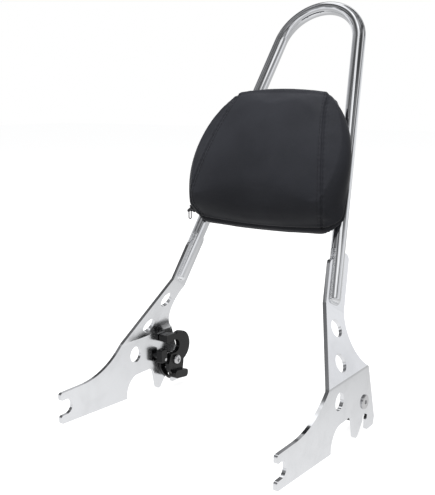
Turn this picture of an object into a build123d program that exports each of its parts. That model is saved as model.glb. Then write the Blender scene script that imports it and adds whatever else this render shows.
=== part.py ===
from build123d import *
import os
from math import acos, atan2, cos, hypot, radians, sin, tan
from typing import NamedTuple

os.makedirs("parts", exist_ok=True)

# Quick-release passenger backrest for a motorbike: a bent tube hoop on two folded side plates,
# with a zipped pad and a sprung thumb latch on the inner face of each plate.
# Millimetres. The origin is midway between the plates, on the axis of the front docking studs.
# +X is the rider's left, +Y points to the rear of the bike and +Z is up.

# Side plates
plate_thickness = 4.0
plate_spacing = 268.0
fold_height = 45.3
fold_bend_radius = 7.0

# Front fork of a plate, about the front stud
front_stud_radius = 8.5
prong_reach = 9.0
prong_top = 17.2
prong_bottom = 17.7
prong_corner = 3.0

# Outline of a plate behind the fork, as height and distance from the front stud
upper_edge_straight = 23.5
web_front_foot = 92.5
web_front_rise = 1.0
bottom_edge_length = 99.5
bottom_edge_drop = 5.5
arch_height = 2.0
arch_front = 117.0
arch_rear = 139.5
arch_rear_drop = 9.0
arch_rear_round = (3.4, 2.6)
heel_round = (4.6, 8.0)
spike_front = 151.0
spike_width = 11.5
spike_drop = 27.2
spike_round = 1.0
tab_drop = 27.5
tab_width = 17.0
tab_flare = 3.0
slot_mouth_width = 1.5
slot_mouth_height = 2.0
slot_front_drop = 2.0
rear_fold_distance = 187.0
waist_distance = 168.0
waist_height = 76.3

# Lightening holes, and the rear docking slot
hole_radius = 9.75
low_hole = (116.4, 27.4)
middle_hole = (132.9, 61.2)
high_hole = (150.0, 91.9)
rear_stud_radius = 5.75
rear_stud_distance = 180.8
rear_stud_height = -11.2

# Hoop
tube_radius = 8.0
tube_wall = 2.0
tube_end_wall = 5.0
tube_end_round = 5.0
foot_spacing = 205.2
foot_distance = 163.1
foot_height = 114.7
hoop_lean = 28.3
hoop_rise = 313.5
hoop_bend_radius = 54.0

# Tongue of a plate, in the slot of the tube's end
tongue_lead = 3.0
tongue_front = 15.0
tongue_rear = 19.0
tongue_front_height = 47.0
tongue_rear_height = 69.0
tongue_corner = 6.0

# Pad, on the hoop's plane: heights from the pad's middle
pad_height_on_hoop = 136.0
pad_standoff = 9.0
pad_depth = 52.0
pad_dome_radius = 520.0
pad_top_rise = 4.0
pad_top_corner = 10.0
pad_foot_corner = 12.0
cover_wall = 1.6
board_thickness = 4.0
zip_width = 3.0
zip_depth = 1.0
zip_top = -20.0


class PadSection(NamedTuple):
    """An outline of the pad parallel to its back: half widths and heights of its top, side and foot."""

    front: float
    top_half: float
    top: float
    side_half: float
    side: float
    foot_half: float
    foot: float
    sag: float
    draw_in: int = 0


pad_back = PadSection(
    front=0.0, top_half=48.0, top=91.0, side_half=79.5, side=45.0, foot_half=83.0, foot=-64.0, sag=2.0, draw_in=1
)
pad_zip_line = PadSection(
    front=10.0, top_half=54.5, top=97.0, side_half=85.0, side=40.0, foot_half=100.0, foot=-53.0, sag=6.0
)
pad_widest = PadSection(
    front=31.0, top_half=55.0, top=94.0, side_half=101.0, side=20.0, foot_half=89.0, foot=-54.0, sag=6.0
)
pad_shoulder = PadSection(
    front=44.0, top_half=58.0, top=89.5, side_half=92.0, side=15.0, foot_half=81.0, foot=-43.0, sag=5.0
)
pad_lip = PadSection(
    front=53.0, top_half=50.0, top=80.0, side_half=78.0, side=12.0, foot_half=68.0, foot=-28.0, sag=4.0
)
pad_sections = (pad_back, pad_zip_line, pad_widest, pad_shoulder, pad_lip)

# Straps and pad fasteners
strap_height = 24.0
strap_thickness = 4.0
lower_strap_level = -22.0
upper_strap_level = 58.0
screw_spacing = 70.0
screw_radius = 3.0
screw_head_radius = 5.5
screw_head_height = 4.5
washer_radius = 8.0
washer_thickness = 1.5
tee_flange_radius = 8.5
tee_flange_thickness = 1.2
tee_barrel_radius = 4.0
hole_clearance = 0.3
thread_clearance = 0.05

# Zip slider and wire puller
slider_length = 9.0
slider_width = 7.0
slider_height = 2.2
slider_ear = 1.0
slider_bar_radius = 0.7
slider_bar_rise = 2.8
puller_wire_radius = 0.6
puller_width = 4.6
puller_length = 13.0

# Latch, measured inwards from a plate's inner face, forward and up from its pivot
pivot_distance = 178.0
pivot_height = 7.3
pivot_radius = 4.5
pivot_clearance = 0.05
pivot_flange_radius = 8.0
pivot_flange_thickness = 2.0
pivot_socket_radius = 2.5
pivot_screw_radius = 3.0
pivot_head_radius = 6.0
pivot_head_height = 3.6
pivot_recess_depth = 1.6
pivot_recess_width = 1.6
latch_clearance = 0.3
claw_thickness = 3.0
claw_hub_margin = 1.0
hub_length = 4.0
hub_radius = 7.0
lever_thickness = 6.0
hook_radius = 19.3
hook_centre = (-9.5, 15.0)
mouth_radius = 8.6
mouth_centre = (1.0, 17.3)
lever_chin = (14.5, -3.0)
lever_throat = (12.0, -12.0)
lever_sole = (5.0, -20.5)
lever_heel = (-13.5, -19.0)
lever_back_low = (-15.5, -8.0)
lever_back_high = (-17.0, 6.0)
jaw_reach = 18.0
jaw_height = 9.0
jaw_depth = 12.3
foot_length = 26.0
foot_thickness = 10.0
foot_round = 4.2
foot_reach = 5.0
foot_tilt = 8.0
foot_place = (-5.5, -19.6)
claw_brow = (18.0, 1.0)
claw_cheek = (18.5, -8.0)
claw_chin = (12.5, -17.5)
claw_tip_grip = 4.0
claw_tip_depth = 2.4
claw_tip_back = 0.5
post_radius = 4.2
post_place = (21.5, 9.0)
block_gap = 0.6
block_width = 10.5
block_height = 16.0
block_depth = 8.0
block_round = 1.5
block_pin_radius = 1.9
block_pin_stand = 0.5
block_pin_seat = 4.0
block_pin_place = (18.9, 4.4)
spring_wire_radius = 0.5
spring_turns = 1.5
spring_grip = 2.0
spring_lift = 0.5
spring_peg_radius = 1.5
spring_peg_height = 1.5

# Where the hoop's legs run
half_spacing = plate_spacing / 2
half_foot = foot_spacing / 2
foot_span = hypot(half_foot, hoop_rise)
leg_taper = acos(hoop_bend_radius / foot_span) - atan2(hoop_rise, half_foot)
lean = radians(hoop_lean)
leg_direction = Vector(-sin(leg_taper), cos(leg_taper) * sin(lean), cos(leg_taper) * cos(lean))
leg_foot = Vector(half_foot, foot_distance, foot_height)
leg_length = hoop_rise * cos(leg_taper) + half_foot * sin(leg_taper)
hoop_plane = Plane(origin=(0, foot_distance, foot_height), x_dir=(1, 0, 0), z_dir=(0, -cos(lean), sin(lean)))
pad_plane = Plane(
    origin=hoop_plane.from_local_coords((0, pad_height_on_hoop, 0)), x_dir=(1, 0, 0), z_dir=hoop_plane.z_dir
)

# Where the left plate's sheet bends: at the fold, and at the crease below the tube's end
crease_point = leg_foot - leg_direction * tongue_lead
web_lean = atan2(half_spacing - crease_point.X, crease_point.Z - fold_height)
web_normal = Vector(cos(web_lean), 0, sin(web_lean))
tongue_normal = (web_normal - leg_direction * web_normal.dot(leg_direction)).normalized()
crease_direction = web_normal.cross(tongue_normal).normalized()
if crease_direction.Y > 0:
    crease_direction = -crease_direction
web_rise = crease_direction.cross(web_normal).normalized()
if web_rise.Z < 0:
    web_rise = -web_rise
crease_plane = Plane(origin=crease_point, x_dir=crease_direction, z_dir=web_rise + leg_direction)
tongue_plane = Plane(origin=crease_point, x_dir=crease_direction, z_dir=tongue_normal)
sheet_reach = plate_spacing + foot_distance


def tongue_point(forward, along):
    """A point of the tongue's outline, in side view, from the crease and the leg's axis."""
    point = crease_point + crease_direction * forward + leg_direction * along
    return (point.Y, point.Z)


def web_plane(place):
    """The plane of the leaning web, centred where its middle passes over a point of the side view."""
    height = place[1]
    x = half_spacing - (height - fold_height) * tan(web_lean)
    return Plane(origin=(x, place[0], height), x_dir=(0, 1, 0), z_dir=web_normal)


# Left side plate: a folded sheet cut to its outline
with BuildPart() as folded_sheet:
    with BuildSketch(Plane.XZ):
        with BuildLine():
            FilletPolyline(
                (half_spacing, -sheet_reach / 2),
                (half_spacing, fold_height),
                (half_spacing - sheet_reach * sin(web_lean), fold_height + sheet_reach * cos(web_lean)),
                radius=fold_bend_radius,
            )
        trace(line_width=plate_thickness)
    extrude(amount=sheet_reach, both=True)
    split(bisect_by=crease_plane, keep=Keep.BOTTOM)

with BuildPart() as tongue_sheet:
    with BuildSketch(tongue_plane):
        Rectangle(sheet_reach, sheet_reach)
    extrude(amount=plate_thickness / 2, both=True)
    split(bisect_by=crease_plane, keep=Keep.TOP)

web_corner = (web_front_foot, fold_height + web_front_rise)
heel = (bottom_edge_length, -prong_bottom - bottom_edge_drop)
spike_root = (spike_front, arch_height - arch_rear_drop)
spike_foot = (spike_front + spike_width / 3, -spike_drop + spike_width / 3)
spike_heel = (spike_front + spike_width * 1.1, -spike_drop + spike_width / 6)
slot_front = rear_stud_distance - rear_stud_radius
slot_rear = rear_stud_distance + rear_stud_radius
rear_foot = (slot_rear + tab_width + tab_flare, -tab_drop + tab_width / 2)

with BuildPart() as left_side_plate:
    add(folded_sheet.part)
    add(tongue_sheet.part)
    with BuildSketch(Plane.YZ) as plate_outline:
        with BuildLine():
            Line((-prong_reach, front_stud_radius), (-prong_reach, prong_top))
            Line((-prong_reach, prong_top), (upper_edge_straight, prong_top))
            TangentArc((upper_edge_straight, prong_top), web_corner, tangent=(1, 0))
            Line(web_corner, tongue_point(tongue_front, 0))
            Polyline(
                tongue_point(tongue_front, 0),
                tongue_point(tongue_front, tongue_front_height),
                tongue_point(-tongue_rear, tongue_rear_height),
                tongue_point(-tongue_rear, 0),
            )
            ThreePointArc(
                tongue_point(-tongue_rear, 0), (waist_distance, waist_height), (rear_fold_distance, fold_height)
            )
            Polyline(
                (rear_fold_distance, fold_height),
                rear_foot,
                (slot_rear + tab_width, -tab_drop),
                (slot_rear + slot_mouth_width, -tab_drop),
                (slot_rear, -tab_drop + slot_mouth_height),
                (slot_rear, rear_stud_height),
            )
            ThreePointArc(
                (slot_rear, rear_stud_height),
                (rear_stud_distance, rear_stud_height + rear_stud_radius),
                (slot_front, rear_stud_height),
            )
            Polyline((slot_front, rear_stud_height), (slot_front, rear_stud_height - slot_front_drop), spike_heel)
            ThreePointArc(
                spike_heel, ((spike_foot[0] + spike_heel[0]) / 2 + spike_round, -spike_drop), spike_foot
            )
            Line(spike_foot, spike_root)
            ThreePointArc(
                spike_root,
                (spike_front - arch_rear_round[0], arch_height - arch_rear_round[1]),
                (arch_rear, arch_height),
            )
            Line((arch_rear, arch_height), (arch_front, arch_height))
            ThreePointArc(
                (arch_front, arch_height),
                (bottom_edge_length + heel_round[0], arch_height - heel_round[1]),
                heel,
            )
            Polyline(heel, (-prong_reach, -prong_bottom), (-prong_reach, -front_stud_radius), (0, -front_stud_radius))
            ThreePointArc((0, -front_stud_radius), (front_stud_radius, 0), (0, front_stud_radius))
            Line((0, front_stud_radius), (-prong_reach, front_stud_radius))
        make_face()
        prong_tips = plate_outline.vertices().group_by(Axis.X)[0]
        fillet(prong_tips, radius=prong_corner)
        tongue_tips = plate_outline.vertices().sort_by(Axis.Y)[-2:]
        fillet(tongue_tips, radius=tongue_corner)
    extrude(amount=plate_spacing, mode=Mode.INTERSECT)
    with BuildSketch(Plane.YZ):
        with Locations(low_hole):
            Circle(hole_radius)
        with Locations((pivot_distance, pivot_height)):
            Circle(pivot_radius + pivot_clearance)
    extrude(amount=plate_spacing, mode=Mode.SUBTRACT)
    for place in (middle_hole, high_hole):
        with BuildSketch(web_plane(place)):
            Circle(hole_radius)
        extrude(amount=plate_thickness, both=True, mode=Mode.SUBTRACT)

with BuildPart() as right_side_plate:
    mirror(left_side_plate.part, about=Plane.YZ)


def hoop_path(end_gap):
    """The hoop's centreline, drawn in from the tube's ends."""
    in_plane = Vector(-sin(leg_taper), cos(leg_taper))
    start = Vector(half_foot, 0) + in_plane * end_gap
    top = Vector(half_foot, 0) + in_plane * leg_length
    crown = (0, hoop_rise + hoop_bend_radius)
    with BuildLine(hoop_plane) as path:
        Line((-start.X, start.Y), (-top.X, top.Y))
        ThreePointArc((-top.X, top.Y), crown, (top.X, top.Y))
        Line((top.X, top.Y), (start.X, start.Y))
    return path.line


def swept_tube(path, radius):
    """A round bar along a path."""
    with BuildPart() as bar:
        with BuildSketch(Plane(origin=path @ 0, z_dir=path % 0)):
            Circle(radius)
        sweep(path=path)
    return bar.part


tube_envelope = swept_tube(hoop_path(0), tube_radius)

# Hoop: closed, rounded ends, each slotted over the tongue of its plate
with BuildPart() as hoop_tube:
    add(tube_envelope)
    tube_ends = hoop_tube.edges().filter_by(GeomType.CIRCLE).group_by(Axis.Z)[0]
    fillet(tube_ends, radius=tube_end_round)
    add(swept_tube(hoop_path(tube_end_wall), tube_radius - tube_wall), mode=Mode.SUBTRACT)
    add(left_side_plate.part, mode=Mode.SUBTRACT)
    add(right_side_plate.part, mode=Mode.SUBTRACT)


def leg_half_width(level):
    """Half the distance between the legs' axes, at a height from the pad's middle."""
    return half_foot - (pad_height_on_hoop + level) * tan(leg_taper)


def pad_strap(level):
    """A flat bar across the legs, with its ends coped to the tube and two holes for the pad's screws."""
    with BuildPart() as strap:
        with BuildSketch(pad_plane.offset(pad_standoff - strap_thickness)):
            with Locations((0, level)):
                Rectangle(2 * leg_half_width(level), strap_height)
            with Locations((-screw_spacing / 2, level), (screw_spacing / 2, level)):
                Circle(screw_radius + hole_clearance, mode=Mode.SUBTRACT)
        extrude(amount=strap_thickness)
        add(tube_envelope, mode=Mode.SUBTRACT)
    return strap


pad_back_plane = pad_plane.offset(pad_standoff)
lower_pad_strap = pad_strap(lower_strap_level)
upper_pad_strap = pad_strap(upper_strap_level)
screw_places = [
    (side * screw_spacing / 2, level) for level in (lower_strap_level, upper_strap_level) for side in (-1, 1)
]


def pad_face(section, inset):
    """A pad section's outline with rounded corners, drawn in by a wall."""
    top_half = section.top_half - inset
    side_half = section.side_half - inset
    foot_half = section.foot_half - inset
    top = section.top - inset
    foot = section.foot + inset
    with BuildSketch(pad_back_plane.offset(section.front + section.draw_in * inset)) as face:
        with BuildLine():
            ThreePointArc((-top_half, top), (0, top + pad_top_rise), (top_half, top))
            ThreePointArc((top_half, top), (side_half, section.side), (foot_half, foot))
            ThreePointArc((foot_half, foot), (0, foot - section.sag), (-foot_half, foot))
            ThreePointArc((-foot_half, foot), (-side_half, section.side), (-top_half, top))
        make_face()
        fillet(face.vertices().group_by(Axis.Y)[-1], radius=pad_top_corner)
        fillet(face.vertices().group_by(Axis.Y)[0], radius=pad_foot_corner)
    return face.sketch


def pad_dome(inset):
    """A ball whose near side is the pad's gently domed front."""
    with BuildPart(pad_back_plane.offset(pad_depth - pad_dome_radius)) as dome:
        Sphere(pad_dome_radius - inset)
    return dome.part


def pad_form(inset):
    """The pad's outer form, or the same form drawn in by a wall."""
    with BuildPart() as form:
        loft([pad_face(section, inset) for section in pad_sections])
        add(pad_dome(inset), mode=Mode.INTERSECT)
    return form.part


pad_outside = pad_form(0)
pad_inside = pad_form(cover_wall)
zip_seat = pad_form(zip_depth)
board_back = pad_standoff + cover_wall
board_front = board_back + board_thickness
zip_back = pad_zip_line.front - zip_width / 2
pad_reach = pad_widest.side_half * 3

# Zip chain, let into the cover round the pad's foot
with BuildPart() as pad_zip:
    with BuildSketch(pad_back_plane.offset(zip_back)):
        with Locations((0, zip_top)):
            Rectangle(pad_reach, pad_reach, align=(Align.CENTER, Align.MAX))
    extrude(amount=zip_width)
    add(pad_outside, mode=Mode.INTERSECT)
    add(zip_seat, mode=Mode.SUBTRACT)

# Cover: a closed skin with the zip's groove and holes for the screws
with BuildPart() as pad_cover:
    add(pad_outside)
    add(pad_inside, mode=Mode.SUBTRACT)
    add(pad_zip.part, mode=Mode.SUBTRACT)
    with BuildSketch(pad_plane.offset(pad_standoff)):
        with Locations(screw_places):
            Circle(screw_radius + hole_clearance)
    extrude(amount=cover_wall, mode=Mode.SUBTRACT)

with BuildPart() as pad_backboard:
    with BuildSketch(pad_plane.offset(board_back)):
        Rectangle(pad_reach, pad_reach)
    extrude(amount=board_thickness)
    add(pad_inside, mode=Mode.INTERSECT)
    with BuildSketch(pad_plane.offset(board_back)):
        with Locations(screw_places):
            Circle(tee_barrel_radius + thread_clearance)
    extrude(amount=board_thickness, mode=Mode.SUBTRACT)

with BuildPart() as pad_foam:
    with BuildSketch(pad_plane.offset(board_front)):
        Rectangle(pad_reach, pad_reach)
    extrude(amount=pad_depth)
    add(pad_inside, mode=Mode.INTERSECT)
    with BuildSketch(pad_plane.offset(board_front)):
        with Locations(screw_places):
            Circle(tee_flange_radius + hole_clearance)
    extrude(amount=tee_flange_thickness + hole_clearance, mode=Mode.SUBTRACT)

with BuildPart() as pad_tee_nuts:
    with BuildSketch(pad_plane.offset(board_back)):
        with Locations(screw_places):
            Circle(tee_barrel_radius)
    extrude(amount=board_thickness)
    with BuildSketch(pad_plane.offset(board_front)):
        with Locations(screw_places):
            Circle(tee_flange_radius)
    extrude(amount=tee_flange_thickness)
    with BuildSketch(pad_plane.offset(board_back)):
        with Locations(screw_places):
            Circle(screw_radius + thread_clearance)
    extrude(amount=board_thickness + tee_flange_thickness, mode=Mode.SUBTRACT)

washer_back = pad_standoff - strap_thickness - washer_thickness
screw_end = board_front + tee_flange_thickness

with BuildPart() as pad_washers:
    with BuildSketch(pad_plane.offset(washer_back)):
        with Locations(screw_places):
            Circle(washer_radius)
            Circle(screw_radius + hole_clearance, mode=Mode.SUBTRACT)
    extrude(amount=washer_thickness)

with BuildPart() as pad_screws:
    with BuildSketch(pad_plane.offset(washer_back - screw_head_height)):
        with Locations(screw_places):
            RegularPolygon(screw_head_radius, 6)
    extrude(amount=screw_head_height)
    with BuildSketch(pad_plane.offset(washer_back)):
        with Locations(screw_places):
            Circle(screw_radius)
    extrude(amount=screw_end - washer_back)

# Zip slider on the rider's right, where the zip turns the pad's lower corner, and its hanging puller
zip_corner_tip = pad_back_plane.offset(pad_zip_line.front).from_local_coords(
    (-pad_zip_line.foot_half, pad_zip_line.foot, 0)
)
zip_corner = pad_face(pad_zip_line, 0).edges().sort_by_distance(zip_corner_tip)[0]
slider_base = zip_corner @ 0.5
slider_run = zip_corner % 0.5
slider_out = slider_run.cross(pad_plane.z_dir).normalized()
if slider_out.X > 0:
    slider_out = -slider_out
slider_plane = Plane(origin=slider_base, x_dir=slider_run, z_dir=slider_out)
bar_point = slider_base + slider_out * (slider_height + slider_bar_rise)
bar_plane = Plane(origin=bar_point, x_dir=(slider_out.X, 0, slider_out.Z), z_dir=(0, -1, 0))
ear_span = slider_width - 2 * slider_ear

with BuildPart() as zip_slider:
    with BuildSketch(slider_plane) as slider_foot:
        RectangleRounded(slider_length, slider_width, slider_width / 4)
    extrude(amount=slider_height)
    with BuildSketch(bar_plane.offset(-slider_width / 2)):
        Circle(slider_bar_radius + slider_ear)
        with Locations((-slider_bar_rise, 0)):
            Rectangle(
                slider_bar_rise * 2, 2 * (slider_bar_radius + slider_ear), align=(Align.CENTER, Align.CENTER)
            )
    extrude(amount=slider_width)
    with BuildSketch(bar_plane.offset(-ear_span / 2)):
        Circle(slider_length / 2 + slider_ear, mode=Mode.ADD)
        with Locations((-slider_bar_rise - slider_length, 0)):
            Rectangle(2 * slider_length, 4 * slider_length, mode=Mode.SUBTRACT)
    extrude(amount=ear_span, mode=Mode.SUBTRACT)
    with BuildSketch(bar_plane.offset(-ear_span / 2)):
        Circle(slider_bar_radius)
    extrude(amount=ear_span)
    add(pad_outside, mode=Mode.SUBTRACT)

# The puller hangs straight down from the slider's bar
puller_end = puller_width / 2 - puller_wire_radius
puller_plane = Plane(origin=bar_point, x_dir=(1, 0, 0), z_dir=(0, -1, 0))
puller_top = puller_end - slider_bar_radius - puller_wire_radius - latch_clearance
puller_run = puller_length - puller_width

with BuildPart() as zip_puller:
    with BuildLine(puller_plane) as puller_line:
        Line((puller_end, -puller_top), (puller_end, -puller_top - puller_run))
        ThreePointArc(
            (puller_end, -puller_top - puller_run),
            (0, -puller_top - puller_run - puller_end),
            (-puller_end, -puller_top - puller_run),
        )
        Line((-puller_end, -puller_top - puller_run), (-puller_end, -puller_top))
        ThreePointArc((-puller_end, -puller_top), (0, puller_end - puller_top), (puller_end, -puller_top))
    with BuildSketch(Plane(origin=puller_line.line @ 0, z_dir=puller_line.line % 0)):
        Circle(puller_wire_radius)
    sweep(path=puller_line.line)

# Left latch, on a plane at the plate's inner face: local X forward, local Y up, local Z inwards
latch_plane = Plane(
    origin=(half_spacing - plate_thickness / 2, pivot_distance, pivot_height), x_dir=(0, -1, 0), z_dir=(-1, 0, 0)
)
claw_top = latch_clearance + claw_thickness
lever_back = claw_top + hub_length
lever_front = lever_back + lever_thickness
pivot_end = lever_front + latch_clearance
stud_place = (pivot_distance - rear_stud_distance, rear_stud_height - pivot_height)
claw_foot = stud_place[1] - rear_stud_radius - latch_clearance
block_back = claw_top + block_gap
block_edge = post_place[0] - block_width / 2

# The latch spring's coil starts at the top of the hub, with a leg running forward to the block
coil_radius = hub_radius + latch_clearance + spring_wire_radius
coil_pitch = 2 * spring_wire_radius + thread_clearance
coil_height = spring_turns * coil_pitch
coil_start = block_back + spring_lift + spring_wire_radius
spring_hold = block_edge + spring_grip
spring_reach = lever_chin[0] - spring_peg_radius
with BuildLine() as coil:
    Helix(
        pitch=coil_pitch,
        height=coil_height,
        radius=coil_radius,
        center=latch_plane.from_local_coords((0, 0, coil_start)),
        direction=latch_plane.z_dir,
    )
spring_coil = coil.line.rotate(Axis(latch_plane.origin, latch_plane.z_dir), 180)
fixed_leg_end = spring_coil @ 0 - (spring_coil % 0) * spring_hold
moving_leg_end = spring_coil @ 1 + (spring_coil % 1) * spring_reach

with BuildPart() as latch_pivot_nut:
    with BuildSketch(latch_plane.offset(-plate_thickness - pivot_flange_thickness)):
        Circle(pivot_flange_radius)
    extrude(amount=pivot_flange_thickness)
    fillet(latch_pivot_nut.edges().group_by(Axis.X)[-1], radius=pivot_flange_thickness * 0.6)
    with BuildSketch(latch_plane.offset(-plate_thickness)):
        Circle(pivot_radius)
    extrude(amount=plate_thickness + pivot_end)
    with BuildSketch(latch_plane.offset(-plate_thickness - pivot_flange_thickness)):
        RegularPolygon(pivot_socket_radius, 6)
    extrude(amount=pivot_flange_thickness, mode=Mode.SUBTRACT)
    with BuildSketch(latch_plane):
        Circle(pivot_screw_radius + thread_clearance)
    extrude(amount=pivot_end, mode=Mode.SUBTRACT)

with BuildPart() as latch_pivot_screw:
    with BuildSketch(latch_plane.offset(pivot_end)):
        Circle(pivot_head_radius)
    extrude(amount=pivot_head_height)
    fillet(latch_pivot_screw.edges().group_by(Axis.X)[0], radius=pivot_head_height * 0.55)
    with BuildSketch(latch_plane.offset(pivot_end + pivot_head_height - pivot_recess_depth)):
        Rectangle(pivot_head_radius, pivot_recess_width)
        Rectangle(pivot_recess_width, pivot_head_radius)
    extrude(amount=pivot_recess_depth, mode=Mode.SUBTRACT)
    with BuildSketch(latch_plane):
        Circle(pivot_screw_radius)
    extrude(amount=pivot_end)

# Lever: a C-shaped hook on a hub, with a deep upper jaw and a thumb foot
with BuildPart() as latch_lever:
    with BuildSketch(latch_plane.offset(lever_back)) as lever_face:
        with Locations(hook_centre):
            Circle(hook_radius)
        with BuildLine():
            Polyline(
                (hook_radius / 2, mouth_centre[1] - mouth_radius),
                lever_chin,
                lever_throat,
                lever_sole,
                lever_heel,
                lever_back_low,
                lever_back_high,
                hook_centre,
                close=True,
            )
        make_face()
        with Locations((jaw_reach / 2, hook_centre[1] + hook_radius - jaw_height / 2)):
            Rectangle(jaw_reach, jaw_height)
        with Locations(mouth_centre):
            Circle(mouth_radius, mode=Mode.SUBTRACT)
            Rectangle(
                2 * jaw_reach, 2 * mouth_radius, align=(Align.MIN, Align.CENTER), mode=Mode.SUBTRACT
            )
    extrude(amount=lever_thickness)
    with BuildSketch(latch_plane.offset(lever_front - jaw_depth)):
        with Locations((jaw_reach * 0.55, hook_centre[1] + hook_radius - jaw_height / 2)):
            RectangleRounded(jaw_reach * 0.9, jaw_height, jaw_height / 4)
    extrude(amount=jaw_depth)
    with BuildSketch(latch_plane.offset(lever_back)):
        with Locations(Location(foot_place, foot_tilt)):
            RectangleRounded(foot_length, foot_thickness, foot_round)
    extrude(amount=lever_thickness + foot_reach)
    with BuildSketch(latch_plane.offset(claw_top)):
        Circle(hub_radius)
    extrude(amount=hub_length)
    with BuildSketch(latch_plane.offset(lever_back - spring_peg_height)):
        with Locations((spring_reach - spring_peg_radius, -coil_radius - spring_wire_radius - spring_peg_radius)):
            Circle(spring_peg_radius)
    extrude(amount=spring_peg_height)
    with BuildSketch(latch_plane.offset(claw_top)):
        Circle(pivot_radius + pivot_clearance)
    extrude(amount=hub_length + lever_thickness, mode=Mode.SUBTRACT)

# Claw: a flat hook on the pivot that closes the mouth of the docking slot
with BuildPart() as latch_claw:
    with BuildSketch(latch_plane.offset(latch_clearance)):
        Circle(hub_radius + claw_hub_margin)
        with BuildLine():
            Polyline(
                (0, hub_radius),
                claw_brow,
                claw_cheek,
                claw_chin,
                (stud_place[0] + claw_tip_grip, claw_foot - claw_tip_depth),
                (stud_place[0] + claw_tip_back, claw_foot - claw_tip_depth),
                (stud_place[0] + claw_tip_back, 0),
                close=True,
            )
        make_face()
        with Locations(stud_place):
            Circle(rear_stud_radius + latch_clearance, mode=Mode.SUBTRACT)
        with Locations((stud_place[0], stud_place[1] - rear_stud_radius)):
            Rectangle(
                2 * rear_stud_radius, 2 * rear_stud_radius, align=(Align.MAX, Align.MAX), mode=Mode.SUBTRACT
            )
        Circle(pivot_radius + pivot_clearance, mode=Mode.SUBTRACT)
    extrude(amount=claw_thickness)

# Keeper block on a post that stands on the plate
with BuildPart() as latch_post:
    with BuildSketch(latch_plane):
        with Locations(post_place):
            Circle(post_radius)
    extrude(amount=block_back)

with BuildPart() as latch_block:
    with BuildSketch(latch_plane.offset(block_back)):
        with Locations(post_place):
            RectangleRounded(block_width, block_height, block_round)
    extrude(amount=block_depth)
    with BuildSketch(latch_plane.offset(block_back + block_pin_seat)):
        with Locations(block_pin_place):
            Circle(block_pin_radius + thread_clearance)
    extrude(amount=block_depth, mode=Mode.SUBTRACT)
    with BuildSketch(Plane(origin=fixed_leg_end, z_dir=spring_coil % 0)):
        Circle(spring_wire_radius + thread_clearance)
    extrude(amount=spring_grip, mode=Mode.SUBTRACT)

with BuildPart() as latch_pin:
    with BuildSketch(latch_plane.offset(block_back + block_pin_seat)):
        with Locations(block_pin_place):
            Circle(block_pin_radius)
    extrude(amount=block_depth - block_pin_seat + block_pin_stand)

# Torsion spring round the hub: a close coil with one leg held in the block and one on the lever's peg
with BuildPart() as latch_spring:
    with BuildLine() as spring_line:
        Line(fixed_leg_end, spring_coil @ 0)
        add(spring_coil)
        Line(spring_coil @ 1, moving_leg_end)
    with BuildSketch(Plane(origin=fixed_leg_end, z_dir=spring_coil % 0)):
        Circle(spring_wire_radius)
    sweep(path=spring_line.line)


handed_pieces = {
    "latch_pivot_nut": latch_pivot_nut,
    "latch_pivot_screw": latch_pivot_screw,
    "latch_lever": latch_lever,
    "latch_claw": latch_claw,
    "latch_post": latch_post,
    "latch_block": latch_block,
    "latch_pin": latch_pin,
    "latch_spring": latch_spring,
}
single_pieces = {
    "hoop_tube": hoop_tube,
    "left_side_plate": left_side_plate,
    "right_side_plate": right_side_plate,
    "lower_pad_strap": lower_pad_strap,
    "upper_pad_strap": upper_pad_strap,
    "pad_cover": pad_cover,
    "pad_foam": pad_foam,
    "pad_backboard": pad_backboard,
    "pad_tee_nuts": pad_tee_nuts,
    "pad_washers": pad_washers,
    "pad_screws": pad_screws,
    "pad_zip": pad_zip,
    "zip_slider": zip_slider,
    "zip_puller": zip_puller,
}

for label, piece in single_pieces.items():
    piece.part.label = label
    export_step(piece.part, f"parts/{label}.step")

for label, piece in handed_pieces.items():
    with BuildPart() as twin:
        mirror(piece.part, about=Plane.YZ)
    piece.part.label = f"left_{label}"
    export_step(piece.part, f"parts/left_{label}.step")
    twin.part.label = f"right_{label}"
    export_step(twin.part, f"parts/right_{label}.step")
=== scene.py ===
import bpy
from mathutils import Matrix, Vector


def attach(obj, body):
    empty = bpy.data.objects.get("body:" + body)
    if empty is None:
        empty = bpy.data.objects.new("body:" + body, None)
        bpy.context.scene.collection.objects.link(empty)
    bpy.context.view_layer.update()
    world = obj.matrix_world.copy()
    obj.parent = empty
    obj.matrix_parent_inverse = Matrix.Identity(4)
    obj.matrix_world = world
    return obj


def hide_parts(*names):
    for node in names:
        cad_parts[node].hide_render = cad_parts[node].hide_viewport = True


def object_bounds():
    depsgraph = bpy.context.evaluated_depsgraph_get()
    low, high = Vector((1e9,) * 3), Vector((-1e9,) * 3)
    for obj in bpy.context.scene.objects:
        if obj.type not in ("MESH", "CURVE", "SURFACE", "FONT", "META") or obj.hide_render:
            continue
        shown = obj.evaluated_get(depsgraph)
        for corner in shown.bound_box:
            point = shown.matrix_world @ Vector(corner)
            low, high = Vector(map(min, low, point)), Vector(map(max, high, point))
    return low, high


bl_info = {
    "name": "Passenger Backrest",
    "version": (1, 0, 0),
    "blender": (4, 5, 0),
    "location": "View3D > Sidebar > Backrest",
    "description": "Dresses a passenger backrest: chrome hoop and plates, leather pad, black latches",
    "category": "Object",
}

import math

import bmesh
import bpy
from mathutils import Matrix, Vector
from mathutils.bvhtree import BVHTree
from mathutils.kdtree import KDTree
from mathutils.noise import noise

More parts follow.
